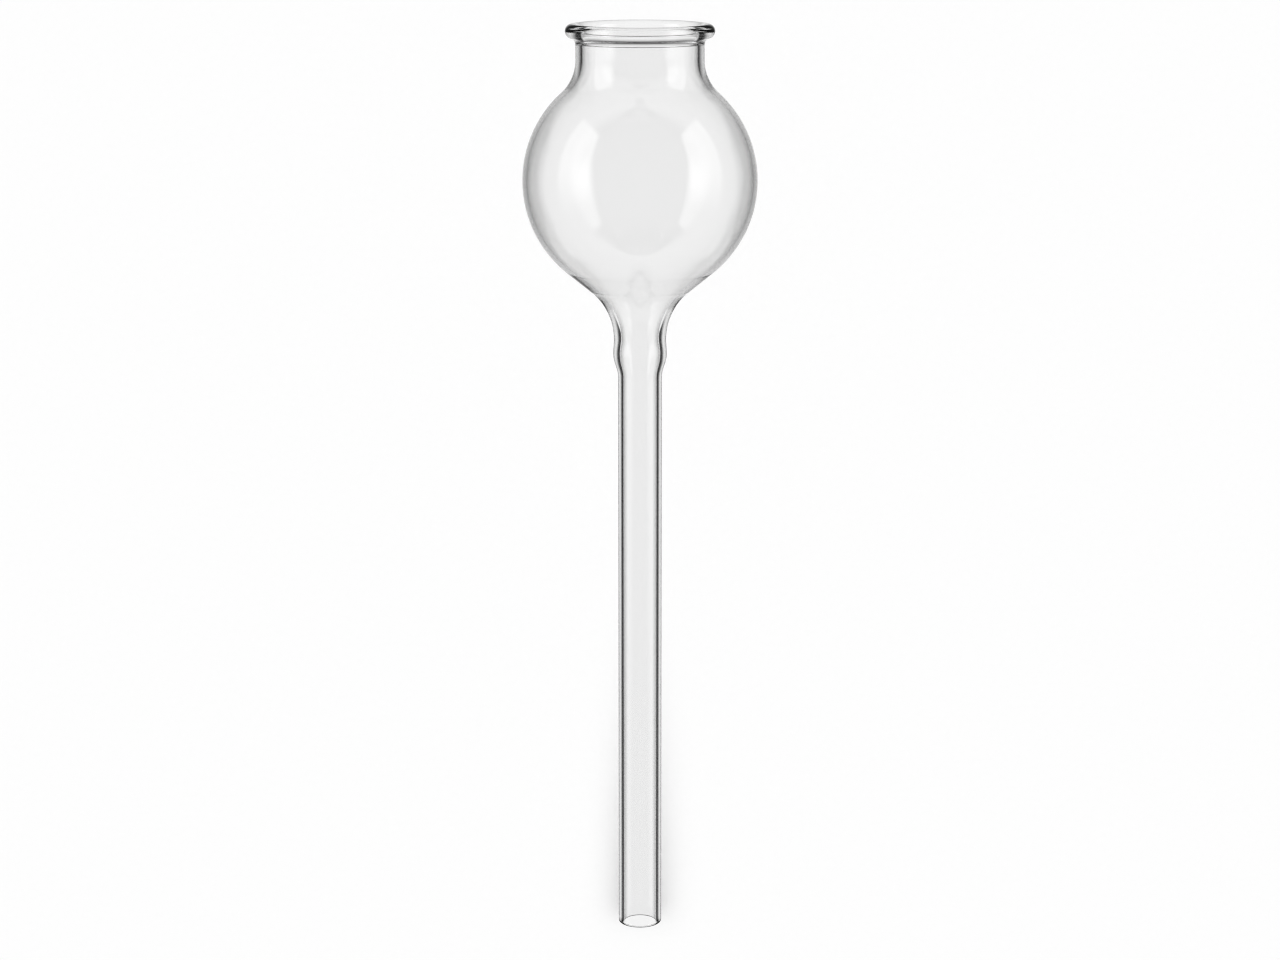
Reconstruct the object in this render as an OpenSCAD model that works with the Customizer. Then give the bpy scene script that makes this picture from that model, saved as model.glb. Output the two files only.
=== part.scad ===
// Thistle funnel of blown borosilicate glass, lying at rest on its bulb and the tip of its stem.
// It is a blown bulb and a plain tube that meet face to face at the lower end of their weld.
// Each wall is drawn as a section, with the bulb's centre at [0, 0] and the rim towards +Z,
// revolved about that axis, then laid down along Y with the rim towards +Y.

/* [Bulb] */
// Outside diameter of the bulb
bulb_od = 42.3; // [34:0.1:60]
// Wall of the bulb
bulb_wall = 0.8; // [0.6:0.1:1.0]

/* [Neck] */
// Outside diameter of the neck
neck_od = 23.1; // [18:0.1:28]
// Wall of the neck
neck_wall = 1.2; // [1.1:0.1:1.8]
// Length of the neck, from the end of the curve into the bulb to the top of the rim
neck_length = 6.4; // [5:0.1:20]
// Radius of the outside curve from the neck to the bulb
shoulder_round = 7.9; // [4:0.1:9.5]

/* [Rim] */
// How far the rim bead stands out from the neck, all round
rim_stand = 1.85; // [1:0.05:3]
// Thickness of the rim bead, along the axis
rim_thick = 2.6; // [2.2:0.1:3.4]
// Radius of the hollow curve under the rim bead
cove_round = 1.2; // [0.6:0.1:1.6]

/* [Throat] */
// Angle between the cone under the bulb and the axis
cone_angle = 51; // [46:1:56]
// How far the narrowest part of the throat stands out from the stem, all round
throat_stand = 0.75; // [0:0.05:1.5]
// Wall of the throat
throat_wall = 1.4; // [1.1:0.1:1.7]
// Radius of the outside curve from the cone to the throat
throat_round = 11.4; // [8:0.1:14]

/* [Weld to the stem] */
// How far the swelling at the weld stands out from the stem, all round
weld_stand = 0.9; // [0.2:0.05:1.6]
// Wall at the swelling
weld_wall = 1.3; // [0.9:0.1:1.6]
// Length from the throat's narrowest part to the widest part of the swelling
weld_rise = 2.6; // [2:0.1:4]
// Length from the widest part of the swelling to the plain tube
weld_fall = 4.3; // [3:0.1:6]

/* [Stem] */
// Outside diameter of the stem
stem_od = 8; // [6:0.5:12]
// Wall of the stem
stem_wall = 1; // [0.7:0.1:1.4]
// Length of the plain tube, from the weld to the tip
stem_length = 104.5; // [60:0.5:300]

/* [Hidden] */

// Degrees turned by one facet of a wide curve and of a small one
wide_step = 3;
small_step = 10;
// Facets of an eased swelling, and of one turn of the revolved section
ease_steps = 12;
turn_facets = 180;
// Degrees that the seam of a revolved wall is turned about the axis, so that when they are meshed the bulb
// and the stem both rest on the middle of a facet. It evens the contact, but doesn't stop the part rolling
seam_turn = 11.25;
// How far a hollow is cut past the end that it opens
past = 1;
glass_tint = [0.86, 0.90, 0.90, 0.45];

// Radii, outside and inside
bulb_r = bulb_od / 2;
bulb_ri = bulb_r - bulb_wall;
neck_r = neck_od / 2;
neck_ri = neck_r - neck_wall;
stem_r = stem_od / 2;
stem_ri = stem_r - stem_wall;
throat_r = stem_r + throat_stand;
throat_ri = throat_r - throat_wall;
weld_r = stem_r + weld_stand;
weld_ri = weld_r - weld_wall;
tip_round = stem_wall / 2;

// Shoulder: its curve touches the neck's cylinder and the bulb's sphere
shoulder_c = neck_r + shoulder_round;
shoulder_z = sqrt(pow(bulb_r + shoulder_round, 2) - pow(shoulder_c, 2));
shoulder_lat = atan2(shoulder_z, shoulder_c);

// Rim bead: its centre's height, and the radii of its section and of the rounding inside the lip
bead_r = rim_thick / 2;
bead_z = shoulder_z + neck_length - bead_r;
bead_c = neck_r + rim_stand - bead_r;
lip_round = min(bead_r, bead_c - neck_ri);
lip_z = bead_z + bead_r - lip_round;

// Hollow curve under the bead: it touches the neck's cylinder and the bead
cove_c = neck_r + cove_round;
cove_z = bead_z - sqrt(pow(bead_r + cove_round, 2) - pow(cove_c - bead_c, 2));
cove_end = atan2(bead_z - cove_z, bead_c - cove_c);

// Throat: its curve touches the cone, and the cone touches the bulb's sphere
throat_c = throat_r + throat_round;
throat_z = (throat_c * cos(cone_angle) - bulb_r - throat_round) / sin(cone_angle);

// Heights down to the tip
weld_z = throat_z - weld_rise;
tube_z = weld_z - weld_fall;
tip_z = tube_z - stem_length;

// At rest the sphere and the rounded tip both touch the floor: the axis leans up towards the rim
tip_reach = -tip_z - tip_round;
tip_ring = stem_r - tip_round;
lean = asin((bulb_r - tip_round) / norm([tip_reach, tip_ring])) - atan2(tip_ring, tip_reach);
rim_y = bead_z * cos(lean) + bead_c * sin(lean) + bead_r;
tip_y = -tip_reach * cos(lean) - tip_ring * sin(lean) - tip_round;

// Points on an arc of radius r about [x, z], from angle a to angle b, about one every step degrees
function arc(x, z, r, a, b, step) =
    let (n = max(1, ceil(abs(b - a) / step)))
    [for (i = [0:n]) let (t = a + (b - a) * i / n) [x + r * cos(t), z + r * sin(t)]];

// Points that ease from radius r0 at height z0 to radius r1 at height z1, level at both ends
function ease(r0, z0, r1, z1) =
    [for (i = [0:ease_steps]) let (t = i / ease_steps)
        [r0 + (r1 - r0) * (1 - cos(180 * t)) / 2, z0 + (z1 - z0) * t]];

// A stretch that starts where the last one ended drops its own first point
function tail(points) = [for (i = [1:len(points) - 1]) points[i]];

// The bulb as if it were solid, from the end of the weld up to the lip
outside = concat(
    [[0, tube_z]],
    ease(stem_r, tube_z, weld_r, weld_z),
    tail(ease(weld_r, weld_z, throat_r, throat_z)),
    tail(arc(throat_c, throat_z, throat_round, 180, 180 - cone_angle, wide_step)),
    arc(0, 0, bulb_r, -cone_angle, shoulder_lat, wide_step),
    tail(arc(shoulder_c, shoulder_z, shoulder_round, 180 + shoulder_lat, 180, wide_step)),
    arc(cove_c, cove_z, cove_round, 180, cove_end, small_step),
    tail(arc(bead_c, bead_z, bead_r, cove_end - 180, 90, small_step)),
    arc(neck_ri + lip_round, lip_z, lip_round, 90, 180, small_step),
    [[0, lip_z]]
);

// The hollow of the neck, from past the lip down into the bulb
neck_hollow = concat(
    [[0, lip_z + past], [neck_ri, lip_z + past]],
    arc(shoulder_c, shoulder_z, shoulder_round + neck_wall, 180, 180 + shoulder_lat, wide_step),
    [[0, 0]]
);

// The hollow of the bulb. Its thinner wall meets the neck's and the cone's in two creases
bulb_hollow = arc(0, 0, bulb_ri, -90, 90, wide_step);

// The hollow of the cone, throat and weld, from inside the bulb to past the weld
drain_hollow = concat(
    [[0, 0]],
    arc(throat_c, throat_z, throat_round + throat_wall, 180 - cone_angle, 180, wide_step),
    tail(ease(throat_ri, throat_z, weld_ri, weld_z)),
    tail(ease(weld_ri, weld_z, stem_ri, tube_z)),
    [[stem_ri, tube_z - past], [0, tube_z - past]]
);

// The wall of the stem, from the tip's full round up to the weld
stem_section = concat(
    arc(tip_ring, tip_z + tip_round, tip_round, 180, 360, small_step),
    [[stem_r, tube_z], [stem_ri, tube_z]]
);

module bulb_section() {
    difference() {
        polygon(outside);
        polygon(neck_hollow);
        polygon(bulb_hollow);
        polygon(drain_hollow);
    }
}

module lay_down() {
    translate([0, -(rim_y + tip_y) / 2, bulb_r])
        rotate([lean - 90, 0, 0])
            children();
}

// Revolves a section about the axis, in glass
module blown() {
    color(glass_tint)
        lay_down()
            rotate([0, 0, seam_turn])
                rotate_extrude($fn = turn_facets)
                    children();
}

module glass_bulb() {
    blown() bulb_section();
}

module glass_stem() {
    blown() polygon(stem_section);
}

glass_bulb();
glass_stem();
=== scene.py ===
# %% [markdown]
# # A glass thistle funnel
# A thistle funnel is blown from a length of borosilicate tube: the glassblower swells a bulb, turns the mouth
# over into a bead and welds a narrow stem on below. Nothing in it is hidden and nothing is flat, so the whole
# lesson is one clean revolved wall, one glass and the light that such glass needs.
#
# The imported model gives the funnel's true place and size. The script asks it for the box around the bulb and
# prints it.

# %% Load the imported model
import math
import bmesh
import bpy
from mathutils import Matrix, Vector


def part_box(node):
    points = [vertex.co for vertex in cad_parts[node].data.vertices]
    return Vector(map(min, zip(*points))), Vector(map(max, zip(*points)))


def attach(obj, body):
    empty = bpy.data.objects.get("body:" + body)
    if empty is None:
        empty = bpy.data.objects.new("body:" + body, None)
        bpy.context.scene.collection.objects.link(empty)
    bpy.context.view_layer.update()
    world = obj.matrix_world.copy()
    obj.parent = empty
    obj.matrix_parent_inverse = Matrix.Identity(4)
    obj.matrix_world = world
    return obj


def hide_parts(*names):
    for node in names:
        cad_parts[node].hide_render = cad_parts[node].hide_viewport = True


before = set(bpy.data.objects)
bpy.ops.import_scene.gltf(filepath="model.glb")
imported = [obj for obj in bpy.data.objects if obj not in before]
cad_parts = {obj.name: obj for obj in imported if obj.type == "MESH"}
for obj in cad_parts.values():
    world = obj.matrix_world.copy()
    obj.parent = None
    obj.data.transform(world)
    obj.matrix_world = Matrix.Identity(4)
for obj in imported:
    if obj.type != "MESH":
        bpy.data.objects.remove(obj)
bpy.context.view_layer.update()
low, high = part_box("glass_bulb")
print("bulb from", [round(1000 * c, 1) for c in low], "to", [round(1000 * c, 1) for c in high], "mm")

# %% [markdown]
# ## Sizes
# Glassblowers work to outside diameters and wall thicknesses, so these are the sizes that are written down here,
# in millimetres, with the radii of the curves between them. They are measured along the funnel's own axis, with
# zero at the bulb's centre and the rim on the positive side. Working in the funnel's own axis and laying it down
# at the end keeps every later step as simple as a drawing of half the funnel.

# %% Sizes in millimetres
MM = 0.001
BULB_R, BULB_WALL = 42.3 / 2, 0.8
NECK_R, NECK_WALL, NECK_LENGTH, SHOULDER_ROUND = 23.1 / 2, 1.2, 6.4, 7.9
RIM_STAND, RIM_THICK, COVE_ROUND = 1.85, 2.6, 1.2
STEM_R, STEM_WALL, STEM_LENGTH = 8.0 / 2, 1.0, 104.5
THROAT_STAND, THROAT_WALL, THROAT_ROUND = 0.75, 1.4, 11.4
WELD_STAND, WELD_WALL, WELD_RISE, WELD_FALL = 0.9, 1.3, 2.6, 4.3
THROAT_R, WELD_R = STEM_R + THROAT_STAND, STEM_R + WELD_STAND
CONE = math.radians(51)
print("bulb", 2 * BULB_R, "mm, neck", 2 * NECK_R, "mm and stem", 2 * STEM_R, "mm across")

# %% [markdown]
# ## Where the curves meet
# Softened glass has no corners: each curve flows into the next one. Two circles flow into each other when their
# centres are as far apart as the sum of their radii, and that is all the geometry there is. The shoulder touches
# the neck and the bulb, the hollow under the bead touches the neck and the bead, and the throat touches the cone.
# The centres could be set by eye, but worked out like this they stay right when a size changes.

# %% Centres of the curves
shoulder_c = NECK_R + SHOULDER_ROUND
shoulder_z = math.sqrt((BULB_R + SHOULDER_ROUND) ** 2 - shoulder_c ** 2)
shoulder_lat = math.atan2(shoulder_z, shoulder_c)
bead_r = RIM_THICK / 2
bead_z = shoulder_z + NECK_LENGTH - bead_r
bead_c = NECK_R + RIM_STAND - bead_r
neck_in = NECK_R - NECK_WALL
cove_c = NECK_R + COVE_ROUND
cove_z = bead_z - math.sqrt((bead_r + COVE_ROUND) ** 2 - (cove_c - bead_c) ** 2)
cove_end = math.atan2(bead_z - cove_z, bead_c - cove_c)
throat_c = THROAT_R + THROAT_ROUND
throat_z = (throat_c * math.cos(CONE) - BULB_R - THROAT_ROUND) / math.sin(CONE)
weld_z = throat_z - WELD_RISE
tube_z = weld_z - WELD_FALL
tip_z = tube_z - STEM_LENGTH
tip_round = STEM_WALL / 2
tip_ring = STEM_R - tip_round
print("rim at", round(bead_z + bead_r, 2), "and tip at", round(tip_z, 2), "mm from the bulb's centre")

# %% [markdown]
# Blowing thins the glass, so the bulb's wall is thinner than the neck's and the throat's. Over the bulb the two
# faces stay parallel, and the wall thickens only inside the shoulder's and the throat's curves, with a very
# slight start along the cone. Where the faces of clear glass aren't parallel they trap the light, and a wall that
# thickened in a step would show as a black ring.

# %% The inner faces
CONE_WALL = 0.9
bulb_in, throat_in = BULB_R - BULB_WALL, THROAT_R - THROAT_WALL
cone_run = math.sqrt(throat_c ** 2 + throat_z ** 2 - (BULB_R + THROAT_ROUND) ** 2)
taper = math.atan((CONE_WALL - BULB_WALL) / cone_run)
print("cone", round(cone_run, 2), "mm long, its wall tapers by", round(math.degrees(taper), 2), "degrees")

# %% [markdown]
# ## Lying at rest
# A thistle funnel can't stand on its stem. Put down on a bench it lies on its bulb and on the edge of its tip,
# with the rim a little raised. The lean follows from the two radii that touch the bench, and the whole funnel is
# centred on the origin along its length.

# %% The lean of the axis
tip_reach = -tip_z - tip_round
lean = math.asin((BULB_R - tip_round) / math.hypot(tip_reach, tip_ring)) - math.atan2(tip_ring, tip_reach)
rim_y = bead_z * math.cos(lean) + bead_c * math.sin(lean) + bead_r
tip_y = -tip_reach * math.cos(lean) - tip_ring * math.sin(lean) - tip_round
bulb_centre = Vector((0, -(rim_y + tip_y) / 2, BULB_R)) * MM
lay_down = Matrix.Translation(bulb_centre) @ Matrix.Rotation(lean - math.pi / 2, 4, "X") @ Matrix.Scale(MM, 4)
along = Vector((0, math.cos(lean), math.sin(lean)))
print("axis leans", round(math.degrees(lean), 2), "degrees")

# %% [markdown]
# ## The wall
# The glassblower makes everything here by turning the tube in a flame, and the script turns it too. The section
# is drawn by turning one vertex about the centre of each curve in turn, which leaves a chain of edges behind it,
# and the chain is then turned once about the funnel's axis.
#
# A subdivided sphere with a pipe joined to it would be quicker, but its joints would pinch the mesh. Spinning
# keeps the wall exact and its faces evenly spaced, which glass needs, because every small flat or kink shows in
# what is seen through it.

# %% A pen that draws with the spin operator
WIDE_STEP, SMALL_STEP = math.radians(1.5), math.radians(9)
SWELL_STEPS = 24
END_STEP = 0.12
section = bmesh.new()
pen = {"at": bmesh.ops.create_vert(section, co=(neck_in, 0, shoulder_z))["vert"][0]}


def turn(x, z, start, end, step):
    """Carries the pen's vertex round [x, z], from one angle to another, leaving an arc of edges."""
    steps = max(1, math.ceil(abs(end - start) / step))
    made = bmesh.ops.spin(
        section, geom=[pen["at"]], cent=(x, 0, z), axis=(0, -1, 0), angle=end - start, steps=steps,
    )
    pen["at"] = next(g for g in made["geom_last"] if isinstance(g, bmesh.types.BMVert))


def draw_to(x, z):
    """Extrudes the pen's vertex in a straight line to [x, z]."""
    made = bmesh.ops.extrude_vert_indiv(section, verts=[pen["at"]])
    pen["at"] = made["verts"][0]
    pen["at"].co = (x, 0, z)


def run_to(x, z):
    """Draws a straight run with a short step at both ends, so that the curves' shading stays out of it."""
    start, end = pen["at"].co.copy(), Vector((x, 0, z))
    step = (end - start).normalized() * END_STEP
    for place in (start + step, end - step, end):
        draw_to(place.x, place.z)


def swell(r0, z0, r1, z1):
    """Draws a curve that leaves and arrives parallel to the axis, as softened glass flows."""
    for i in range(1, SWELL_STEPS + 1):
        t = i / SWELL_STEPS
        draw_to(r0 + (r1 - r0) * (1 - math.cos(math.pi * t)) / 2, z0 + (z1 - z0) * t)


def ease_round(x, z, r0, r1, start, end):
    """Draws an arc about [x, z] whose radius goes softly from r0 to r1."""
    for i in range(1, SWELL_STEPS + 1):
        t = i / SWELL_STEPS
        r, angle = r0 + (r1 - r0) * (1 - math.cos(math.pi * t)) / 2, start + (end - start) * t
        draw_to(x + r * math.cos(angle), z + r * math.sin(angle))


# %% [markdown]
# The pen starts on the neck's bore, goes over the bead and down the outside to the tip, and comes back up the
# inside. Angles are measured from straight out, so the bulb's outer face runs from the shoulder's latitude down
# to the cone's. The bead and the tip are small and take steps of nine degrees, and the long curves take one and
# a half, because the bulb is where the eye rests.

# %% Draw the section, once round the wall
HALF, QUARTER = math.pi, math.pi / 2
run_to(neck_in, bead_z)
turn(neck_in + bead_r, bead_z, HALF, QUARTER, SMALL_STEP)
draw_to(bead_c, bead_z + bead_r)
turn(bead_c, bead_z, QUARTER, cove_end - HALF, SMALL_STEP)
turn(cove_c, cove_z, cove_end, HALF, SMALL_STEP)
run_to(NECK_R, shoulder_z)
turn(shoulder_c, shoulder_z, HALF, HALF + shoulder_lat, WIDE_STEP)
turn(0, 0, shoulder_lat, -CONE, WIDE_STEP)
run_to(throat_c - THROAT_ROUND * math.cos(CONE), throat_z + THROAT_ROUND * math.sin(CONE))
turn(throat_c, throat_z, HALF - CONE, HALF, WIDE_STEP)
swell(THROAT_R, throat_z, WELD_R, weld_z)
swell(WELD_R, weld_z, STEM_R, tube_z)
run_to(STEM_R, tip_z + tip_round)
turn(tip_ring, tip_z + tip_round, 0, -HALF, SMALL_STEP)
run_to(STEM_R - STEM_WALL, tube_z)
swell(STEM_R - STEM_WALL, tube_z, WELD_R - WELD_WALL, weld_z)
swell(WELD_R - WELD_WALL, weld_z, throat_in, throat_z)
ease_round(throat_c, throat_z, THROAT_ROUND + THROAT_WALL, THROAT_ROUND + CONE_WALL, HALF, HALF - CONE)
run_to(bulb_in * math.cos(CONE), -bulb_in * math.sin(CONE))
turn(0, 0, -CONE, shoulder_lat, WIDE_STEP)
ease_round(
    shoulder_c, shoulder_z, SHOULDER_ROUND + BULB_WALL, SHOULDER_ROUND + NECK_WALL, HALF + shoulder_lat, HALF,
)
JOIN = 1e-4
bmesh.ops.remove_doubles(section, verts=section.verts, dist=JOIN)
print(len(section.verts), "points and", len(section.edges), "edges round the wall")

# %% [markdown]
# One full turn closes the wall on itself. The last copy of the section is merged with the first, the faces are
# made to point outwards, and only then is the funnel scaled to metres and laid down, so the finished piece sits
# in the scene with nothing left to apply. The glass is one piece, so it rides the whole body and stands for both
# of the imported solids, bulb and stem.

# %% Turn the section about the axis and lay it down
ROUND_STEPS = 192
bmesh.ops.spin(
    section, geom=section.verts[:] + section.edges[:], cent=(0, 0, 0), axis=(0, 0, 1), angle=2 * math.pi,
    steps=ROUND_STEPS, use_merge=True,
)
bmesh.ops.remove_doubles(section, verts=section.verts, dist=JOIN)
bmesh.ops.recalc_face_normals(section, faces=section.faces)
bmesh.ops.transform(section, matrix=lay_down, verts=section.verts)
for face in section.faces:
    face.smooth = True
mesh = bpy.data.meshes.new("funnel_wall")
section.to_mesh(mesh)
print(len(mesh.polygons), "faces, volume", round(section.calc_volume() / MM ** 3), "cubic mm")
section.free()
funnel = bpy.data.objects.new("funnel_wall", mesh)
bpy.context.scene.collection.objects.link(funnel)
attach(funnel, "root")
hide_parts("glass_bulb", "glass_stem")

# %% [markdown]
# ## Materials
# Colours are written as hex values, as they are picked on a screen, and turned into the linear values that a
# shader works with. One small function adds a node, sets it up and links it, so each material below reads as a
# short list of what is connected to what.

# %% Colour and node helpers


def linear(hex_colour):
    """Turns an sRGB hex colour into the linear values that Blender's sockets take."""
    channels = [int(hex_colour[i:i + 2], 16) / 255 for i in (1, 3, 5)]
    return [c / 12.92 if c <= 0.04045 else ((c + 0.055) / 1.055) ** 2.4 for c in channels] + [1.0]


def add_node(tree, kind, inputs=None, **settings):
    """Adds a node, sets its properties, and sets or links its inputs."""
    node = tree.nodes.new(kind)
    for name, value in settings.items():
        setattr(node, name, value)
    for name, value in (inputs or {}).items():
        if isinstance(value, bpy.types.NodeSocket):
            tree.links.new(value, node.inputs[name])
        else:
            node.inputs[name].default_value = value
    return node


def new_material(name):
    """Makes an empty node material."""
    material = bpy.data.materials.new(name)
    material.use_nodes = True
    material.node_tree.nodes.clear()
    return material


print("white paper is", [round(c, 3) for c in linear("#F4F4F4")[:3]], "in linear light")

# %% [markdown]
# ### Borosilicate glass
# Clear laboratory glass has almost no colour of its own. Seen square on it takes away a few hundredths of the
# light, and seen edge on, where the eye looks along the wall, it turns grey. A little of that grey is real
# absorption along the longer path. Most of it is the dark surroundings that the bent wall brings into view. A ramp
# over the facing angle paints that grey into the surface's colour as painted shade. An absorbing volume would be
# closer to the real thing, but it takes longer to render and to set. Borosilicate has an index of 1.473, which
# together with the wall's thickness sets how far the dark lines stand in from the edge of the tube.

# %% Borosilicate glass: the tint and the painted edge shade
# Painted shade: grey at the edges and clear in the middle is what tells the eye that this is a wall and not a
# solid.
glass = new_material("borosilicate_glass")
tree = glass.node_tree
GLASS_TINT_AND_EDGE_SHADE = ((0.0, "#FBFBFB"), (0.4, "#F8F8F8"), (0.62, "#F2F2F2"), (0.8, "#E8E8E8"), (1.0, "#B0B0B0"))
facing = add_node(tree, "ShaderNodeLayerWeight", {"Blend": 0.5})
tint_and_edge_shade = add_node(tree, "ShaderNodeValToRGB", {"Fac": facing.outputs["Facing"]})
ramp = tint_and_edge_shade.color_ramp
ramp.elements.remove(ramp.elements[1])
ramp.elements[0].position, ramp.elements[0].color = GLASS_TINT_AND_EDGE_SHADE[0][0], linear(GLASS_TINT_AND_EDGE_SHADE[0][1])
for place, colour in GLASS_TINT_AND_EDGE_SHADE[1:]:
    ramp.elements.new(place).color = linear(colour)

# %% [markdown]
# Hand-blown glass is never quite true. Heat and breath leave waves of about a centimetre that are only some
# hundredths of a millimetre deep, and drawing the tube stretches them along it. They don't show on the glass
# itself. They show in the edges of what it mirrors, which wander a little instead of being ruled. A noise
# stretched along the funnel gives the waves, and a bump passes them to the shader without touching the mesh.

# %% Borosilicate glass: the blown surface
# The waves give the eye a lamp's reflection with a soft, slightly wandering edge.
WAVE_ACROSS, WAVE_ALONG = 12.5 * MM, 28.57 * MM
WAVE_DEPTH = 0.02 * MM
GLASS_IOR = 1.473
place = add_node(tree, "ShaderNodeTexCoord")
stretch = add_node(
    tree, "ShaderNodeMapping",
    {"Vector": place.outputs["Object"], "Scale": (1 / WAVE_ACROSS, 1 / WAVE_ALONG, 1 / WAVE_ACROSS)},
)
waves = add_node(
    tree, "ShaderNodeTexNoise", {"Vector": stretch.outputs["Vector"], "Scale": 1.0, "Detail": 1.0},
)
blown = add_node(
    tree, "ShaderNodeBump", {"Height": waves.outputs["Fac"], "Distance": WAVE_DEPTH, "Strength": 1.0},
)
body = add_node(
    tree, "ShaderNodeBsdfPrincipled",
    {
        "Base Color": tint_and_edge_shade.outputs["Color"], "Roughness": 0.0, "IOR": GLASS_IOR, "Transmission Weight": 1.0,
        "Normal": blown.outputs["Normal"],
    },
)

# %% [markdown]
# A lamp's rays bend through real glass and light the table almost as if the glass were not there. A renderer
# that traces light from the eye would leave a black shadow instead, so the rays that ask how much light reaches
# the paper pass straight through. Within a centimetre of the glass they are dimmed. That is a choice and not a
# law of optics: it leaves the soft grey patch round the tip that shows it is touching.

# %% Borosilicate glass: what it leaves on the table
CONTACT, CONTACT_SHARE = 10 * MM, 0.5
ray = add_node(tree, "ShaderNodeLightPath")
touch = add_node(
    tree, "ShaderNodeMapRange",
    {
        "Value": ray.outputs["Ray Length"], "From Min": 0.0, "From Max": CONTACT, "To Min": CONTACT_SHARE,
        "To Max": 1.0,
    },
    interpolation_type="SMOOTHSTEP",
)
clear = add_node(tree, "ShaderNodeBsdfTransparent", {"Color": touch.outputs["Result"]})
passes = add_node(
    tree, "ShaderNodeMath", {0: ray.outputs["Is Shadow Ray"], 1: ray.outputs["Is Diffuse Ray"]},
    operation="MAXIMUM",
)
wall = add_node(
    tree, "ShaderNodeMixShader", {0: passes.outputs[0], 1: body.outputs["BSDF"], 2: clear.outputs["BSDF"]},
)
add_node(tree, "ShaderNodeOutputMaterial", {"Surface": wall.outputs["Shader"]})
mesh.materials.append(glass)
print("glass made of", len(tree.nodes), "nodes")

# %% [markdown]
# ### White paper for the floor
# A studio sweep is matt paper. It has no shine, and its fibres leave a tooth of about a millimetre that is far
# too faint to see in full light, yet keeps a grey shadow on it from looking like plain paint. Two whites that
# are a shade apart give the tooth, and a fine bump catches what little slanting light there is.
#
# The paper is left out for rays that have already met the glass. They see the studio under the table instead,
# which is how a light table with black cards round it is built, and it puts the dark lines inside the glass.

# %% Matt white paper
# The paper gives the eye a plain pale ground with nothing on it to compete with the glass.
paper = new_material("matt_white_paper")
tree = paper.node_tree
FIBRE, FIBRE_DEPTH = 1.111 * MM, 0.02 * MM
place = add_node(tree, "ShaderNodeTexCoord")
fibres = add_node(
    tree, "ShaderNodeTexNoise", {"Vector": place.outputs["Object"], "Scale": 1 / FIBRE, "Detail": 3.0},
)
shade = add_node(
    tree, "ShaderNodeMix", {0: fibres.outputs["Fac"], 6: linear("#F3F3F3"), 7: linear("#F5F5F5")},
    data_type="RGBA",
)
tooth = add_node(tree, "ShaderNodeBump", {"Height": fibres.outputs["Fac"], "Distance": FIBRE_DEPTH})
sheet = add_node(
    tree, "ShaderNodeBsdfPrincipled",
    {
        "Base Color": shade.outputs[2], "Roughness": 1.0, "Specular IOR Level": 0.0,
        "Normal": tooth.outputs["Normal"],
    },
)
open_floor = add_node(tree, "ShaderNodeBsdfTransparent", {"Color": linear("#FFFFFF")})
ray = add_node(tree, "ShaderNodeLightPath")
through = add_node(
    tree, "ShaderNodeMath", {0: ray.outputs["Is Glossy Ray"], 1: ray.outputs["Is Transmission Ray"]},
    operation="MAXIMUM",
)
top = add_node(
    tree, "ShaderNodeMixShader", {0: through.outputs[0], 1: sheet.outputs["BSDF"], 2: open_floor.outputs["BSDF"]},
)
add_node(tree, "ShaderNodeOutputMaterial", {"Surface": top.outputs["Shader"]})

# %% Floor
FLOOR_HALF = 3.0
floor_shape = bmesh.new()
bmesh.ops.create_grid(floor_shape, x_segments=1, y_segments=1, size=FLOOR_HALF)
floor_mesh = bpy.data.meshes.new("floor")
floor_shape.to_mesh(floor_mesh)
floor_shape.free()
floor_mesh.materials.append(paper)
floor = bpy.data.objects.new("floor", floor_mesh)
bpy.context.scene.collection.objects.link(floor)
print("floor", 2 * FLOOR_HALF, "m across")

# %% [markdown]
# ## The studio
# Clear glass is seen by what is around it. A photographer lays it on a light table, hangs a soft panel on either
# side and stands black cards beyond the edge of the light. The panels make the two long highlights, and the cards
# make the dark lines where the wall bends the view sideways.
#
# The same set could be built from planes and area lamps, but they would also colour the paper. Drawn in the world
# instead, each part is a soft patch of directions, and the light that falls on the paper stays even.

# %% The world's directions
world = bpy.data.worlds.new("studio")
bpy.context.scene.world = world
world.use_nodes = True
tree = world.node_tree
tree.nodes.clear()
SMALLEST = 0.001
parts = add_node(tree, "ShaderNodeSeparateXYZ", {0: add_node(tree, "ShaderNodeTexCoord").outputs["Generated"]})
side = add_node(tree, "ShaderNodeMath", {0: parts.outputs["X"]}, operation="ABSOLUTE")
sideways = add_node(tree, "ShaderNodeMath", {0: side.outputs[0], 1: SMALLEST}, operation="MAXIMUM")
under = add_node(tree, "ShaderNodeMath", {0: parts.outputs["Z"], 1: -1.0}, operation="MULTIPLY")
down = add_node(tree, "ShaderNodeMath", {0: under.outputs[0], 1: SMALLEST}, operation="MAXIMUM")
end = add_node(tree, "ShaderNodeMath", {0: parts.outputs["Y"]}, operation="ABSOLUTE")
height = add_node(tree, "ShaderNodeMath", {0: parts.outputs["Z"], 1: sideways.outputs[0]}, operation="DIVIDE")
length = add_node(tree, "ShaderNodeMath", {0: parts.outputs["Y"], 1: sideways.outputs[0]}, operation="DIVIDE")
across = add_node(tree, "ShaderNodeMath", {0: side.outputs[0], 1: down.outputs[0]}, operation="DIVIDE")
mouthwards = add_node(tree, "ShaderNodeMath", {0: parts.outputs["Y"], 1: down.outputs[0]}, operation="DIVIDE")
endways = add_node(tree, "ShaderNodeMath", {0: end.outputs[0], 1: down.outputs[0]}, operation="DIVIDE")


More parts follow.
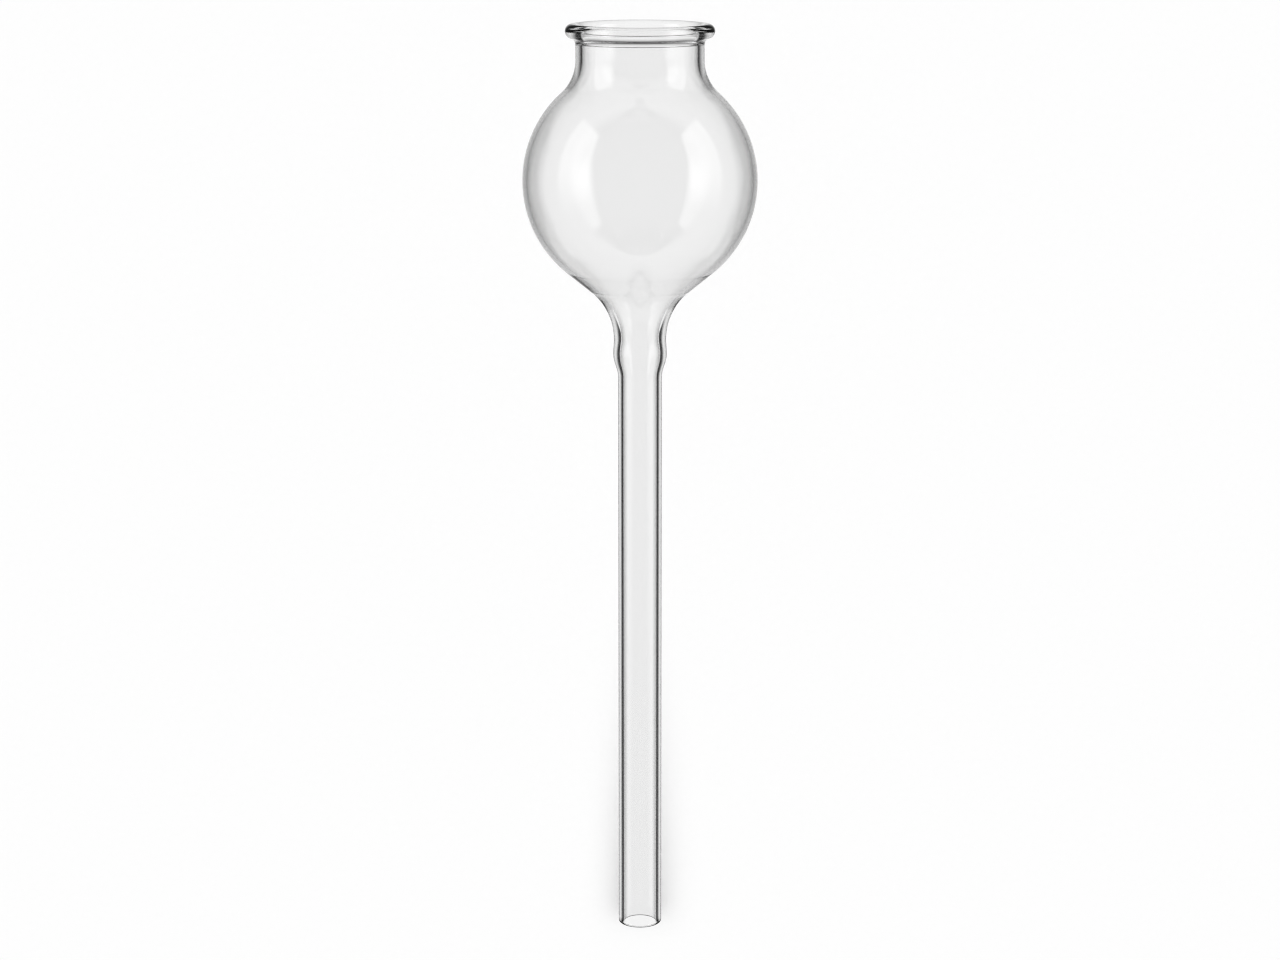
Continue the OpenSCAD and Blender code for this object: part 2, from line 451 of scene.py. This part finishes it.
def patch(first, first_edges, second, second_edges):
    """Makes a soft-edged patch of directions. Its edges are where it starts, is full, starts to go and is gone."""
    share = None
    for value, (start, full, going, gone) in ((first, first_edges), (second, second_edges)):
        for edges in ((start, full, 0.0, 1.0), (going, gone, 1.0, 0.0)):
            names = ("From Min", "From Max", "To Min", "To Max")
            edge = add_node(
                tree, "ShaderNodeMapRange", {"Value": value.outputs[0], **dict(zip(names, edges))},
                interpolation_type="SMOOTHSTEP",
            )
            if share is None:
                share = edge
            else:
                share = add_node(
                    tree, "ShaderNodeMath", {0: share.outputs[0], 1: edge.outputs[0]}, operation="MULTIPLY",
                )
    return share


# %% [markdown]
# The panels stand on both sides, from the table's height up to about forty degrees, and fade out towards the
# stem's end. Under the table everything is white straight below. A card stands on either side and one beyond the
# mouth. Each starts gently, is full where a ray goes about as far outwards as down, and then ends, so a ray that
# leaves nearly level sees white again.

# %% Panels above and cards below
PANEL, DIM = 1.8, 0.06
PANEL_HEIGHT, PANEL_LENGTH = (0.0, 0.12, 0.74, 0.92), (-0.6, 0.25, 1.0, 1.2)
CARD, CARD_SIDE, CARD_END = (0.15, 0.9, 1.3, 1.9), (-0.68, -0.46, 0.6, 0.9), (-2.0, -1.0, 0.6, 0.9)
CARD_DARK = -0.98
WINDOW = (-2.0, -1.0, 0.05, 0.5)
panel = patch(height, PANEL_HEIGHT, length, PANEL_LENGTH)
above = add_node(
    tree, "ShaderNodeMath", {0: panel.outputs[0], 1: PANEL, 2: DIM}, operation="MULTIPLY_ADD",
)
side_card, end_card = patch(across, CARD, mouthwards, CARD_SIDE), patch(mouthwards, CARD, across, CARD_END)
cards = add_node(tree, "ShaderNodeMath", {0: side_card.outputs[0], 1: end_card.outputs[0]}, operation="MAXIMUM")
below = add_node(tree, "ShaderNodeMath", {0: cards.outputs[0], 1: CARD_DARK, 2: 1.0}, operation="MULTIPLY_ADD")
window = patch(across, WINDOW, endways, WINDOW)
mirrored = add_node(tree, "ShaderNodeMath", {0: above.outputs[0], 1: window.outputs[0]}, operation="ADD")

# %% [markdown]
# Four kinds of ray ask the world for light, and each gets its own answer. The paper is lit by a plain even sky.
# What the glass mirrors is the panels, on near black, and the white straight below. What is seen through the glass
# is the light table with its cards, or the panels on a dim wall once the view is bent above the horizon. The
# camera itself sees a plain backdrop, should it ever look past the paper.

# %% One light for each kind of ray
SKY, BACKDROP = 1.095, 0.99
RISE_START, RISE_END = 0.15, 0.4
THROUGH_DIM = 0.25
white = linear("#FFFFFF")
rise = add_node(
    tree, "ShaderNodeMapRange", {"Value": parts.outputs["Z"], "From Min": RISE_START, "From Max": RISE_END},
    interpolation_type="SMOOTHSTEP",
)
over = add_node(
    tree, "ShaderNodeMath", {0: panel.outputs[0], 1: PANEL, 2: THROUGH_DIM}, operation="MULTIPLY_ADD",
)
seen_through = add_node(tree, "ShaderNodeMix", {0: rise.outputs[0], 2: below.outputs[0], 3: over.outputs[0]})
ray = add_node(tree, "ShaderNodeLightPath")
lit = add_node(tree, "ShaderNodeBackground", {"Color": white, "Strength": SKY})
for asks, strength in (
    ("Is Glossy Ray", mirrored.outputs[0]), ("Is Transmission Ray", seen_through.outputs[0]),
    ("Is Camera Ray", BACKDROP),
):
    answer = add_node(tree, "ShaderNodeBackground", {"Color": white, "Strength": strength})
    lit = add_node(tree, "ShaderNodeMixShader", {0: ray.outputs[asks], 1: lit.outputs[0], 2: answer.outputs[0]})
add_node(tree, "ShaderNodeOutputWorld", {"Surface": lit.outputs[0]})
print("studio made of", len(tree.nodes), "nodes")

# %% [markdown]
# ## The camera
# The funnel is looked at square on, with its axis upright in the picture and the mouth tilted just enough to show
# its ring. The lying funnel is seen the same way from above. An 85 mm lens from about half a metre is what a
# product photographer would use: it keeps the stem's sides parallel and the bulb round.

# %% Camera
TILT = math.radians(12.1)
DISTANCE = 0.554
AIM = -54.9 * MM
SENSOR, LENS, NEAREST = 36, 85, 0.01
square_on = Vector((0, -math.sin(lean), math.cos(lean)))
back = square_on * math.cos(TILT) + along * math.sin(TILT)
right = Vector((1, 0, 0))
camera_data = bpy.data.cameras.new("camera")
camera_data.sensor_width, camera_data.lens, camera_data.clip_start = SENSOR, LENS, NEAREST
camera = bpy.data.objects.new("camera", camera_data)
camera.matrix_world = Matrix((right, back.cross(right), back)).transposed().to_4x4()
camera.location = bulb_centre + along * AIM + back * DISTANCE
bpy.context.scene.collection.objects.link(camera)
scene = bpy.context.scene
scene.camera = camera
print("camera", round(math.degrees(TILT), 1), "degrees off square and", DISTANCE, "m away")

# %% [markdown]
# Light meets four surfaces on its way through a tube, and many more at the rim, so the paths are allowed to be
# long. A pixel filter a little narrower than usual keeps the fine dark lines sharp, and the plain Standard
# transform keeps the white paper white.

# %% Light paths and tone
BOUNCES, PIXEL_BLUR = 24, 1.1
scene.view_settings.view_transform = "Standard"
scene.cycles.max_bounces = BOUNCES
scene.cycles.transmission_bounces = BOUNCES
scene.cycles.filter_width = PIXEL_BLUR
